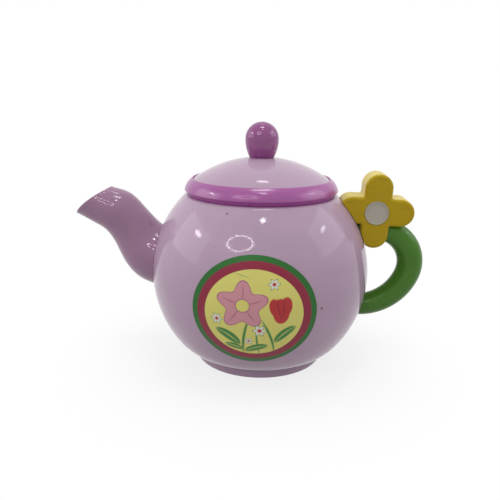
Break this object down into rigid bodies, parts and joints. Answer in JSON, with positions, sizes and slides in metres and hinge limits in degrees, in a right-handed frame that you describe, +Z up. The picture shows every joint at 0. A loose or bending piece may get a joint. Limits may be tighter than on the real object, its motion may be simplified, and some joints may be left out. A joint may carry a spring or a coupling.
{
  "type": "toy teapot",
  "caption": "Round toy teapot with a curved open spout, a ring handle with a flower on it and a lift-off domed lid.",
  "frame": {"origin": "on the table, under the middle of the toy's bounding box", "axes": "+Z up, +X towards the handle, -X towards the spout, -Y the side with the round label"},
  "size_m": [0.1868, 0.1162, 0.127],
  "materials": {
    "mauve_plastic": "glossy",
    "purple_plastic": "satin",
    "plum_plastic": "glossy",
    "green_plastic": "satin",
    "yellow_plastic": "satin",
    "grey_plastic": "matte",
    "steel": "plain",
    "printed_film": "satin"
  },
  "bodies": {
    "root": {"pot_body": "mauve_plastic", "spout": "mauve_plastic", "handle": "green_plastic", "flower_front": "yellow_plastic", "flower_back": "yellow_plastic", "flower_eye": "grey_plastic", "lid_rim": "purple_plastic", "lid_dome": "mauve_plastic", "lid_knob": "plum_plastic", "knob_screw": "steel", "picture_label": "printed_film"}
  },
  "joints": []
}
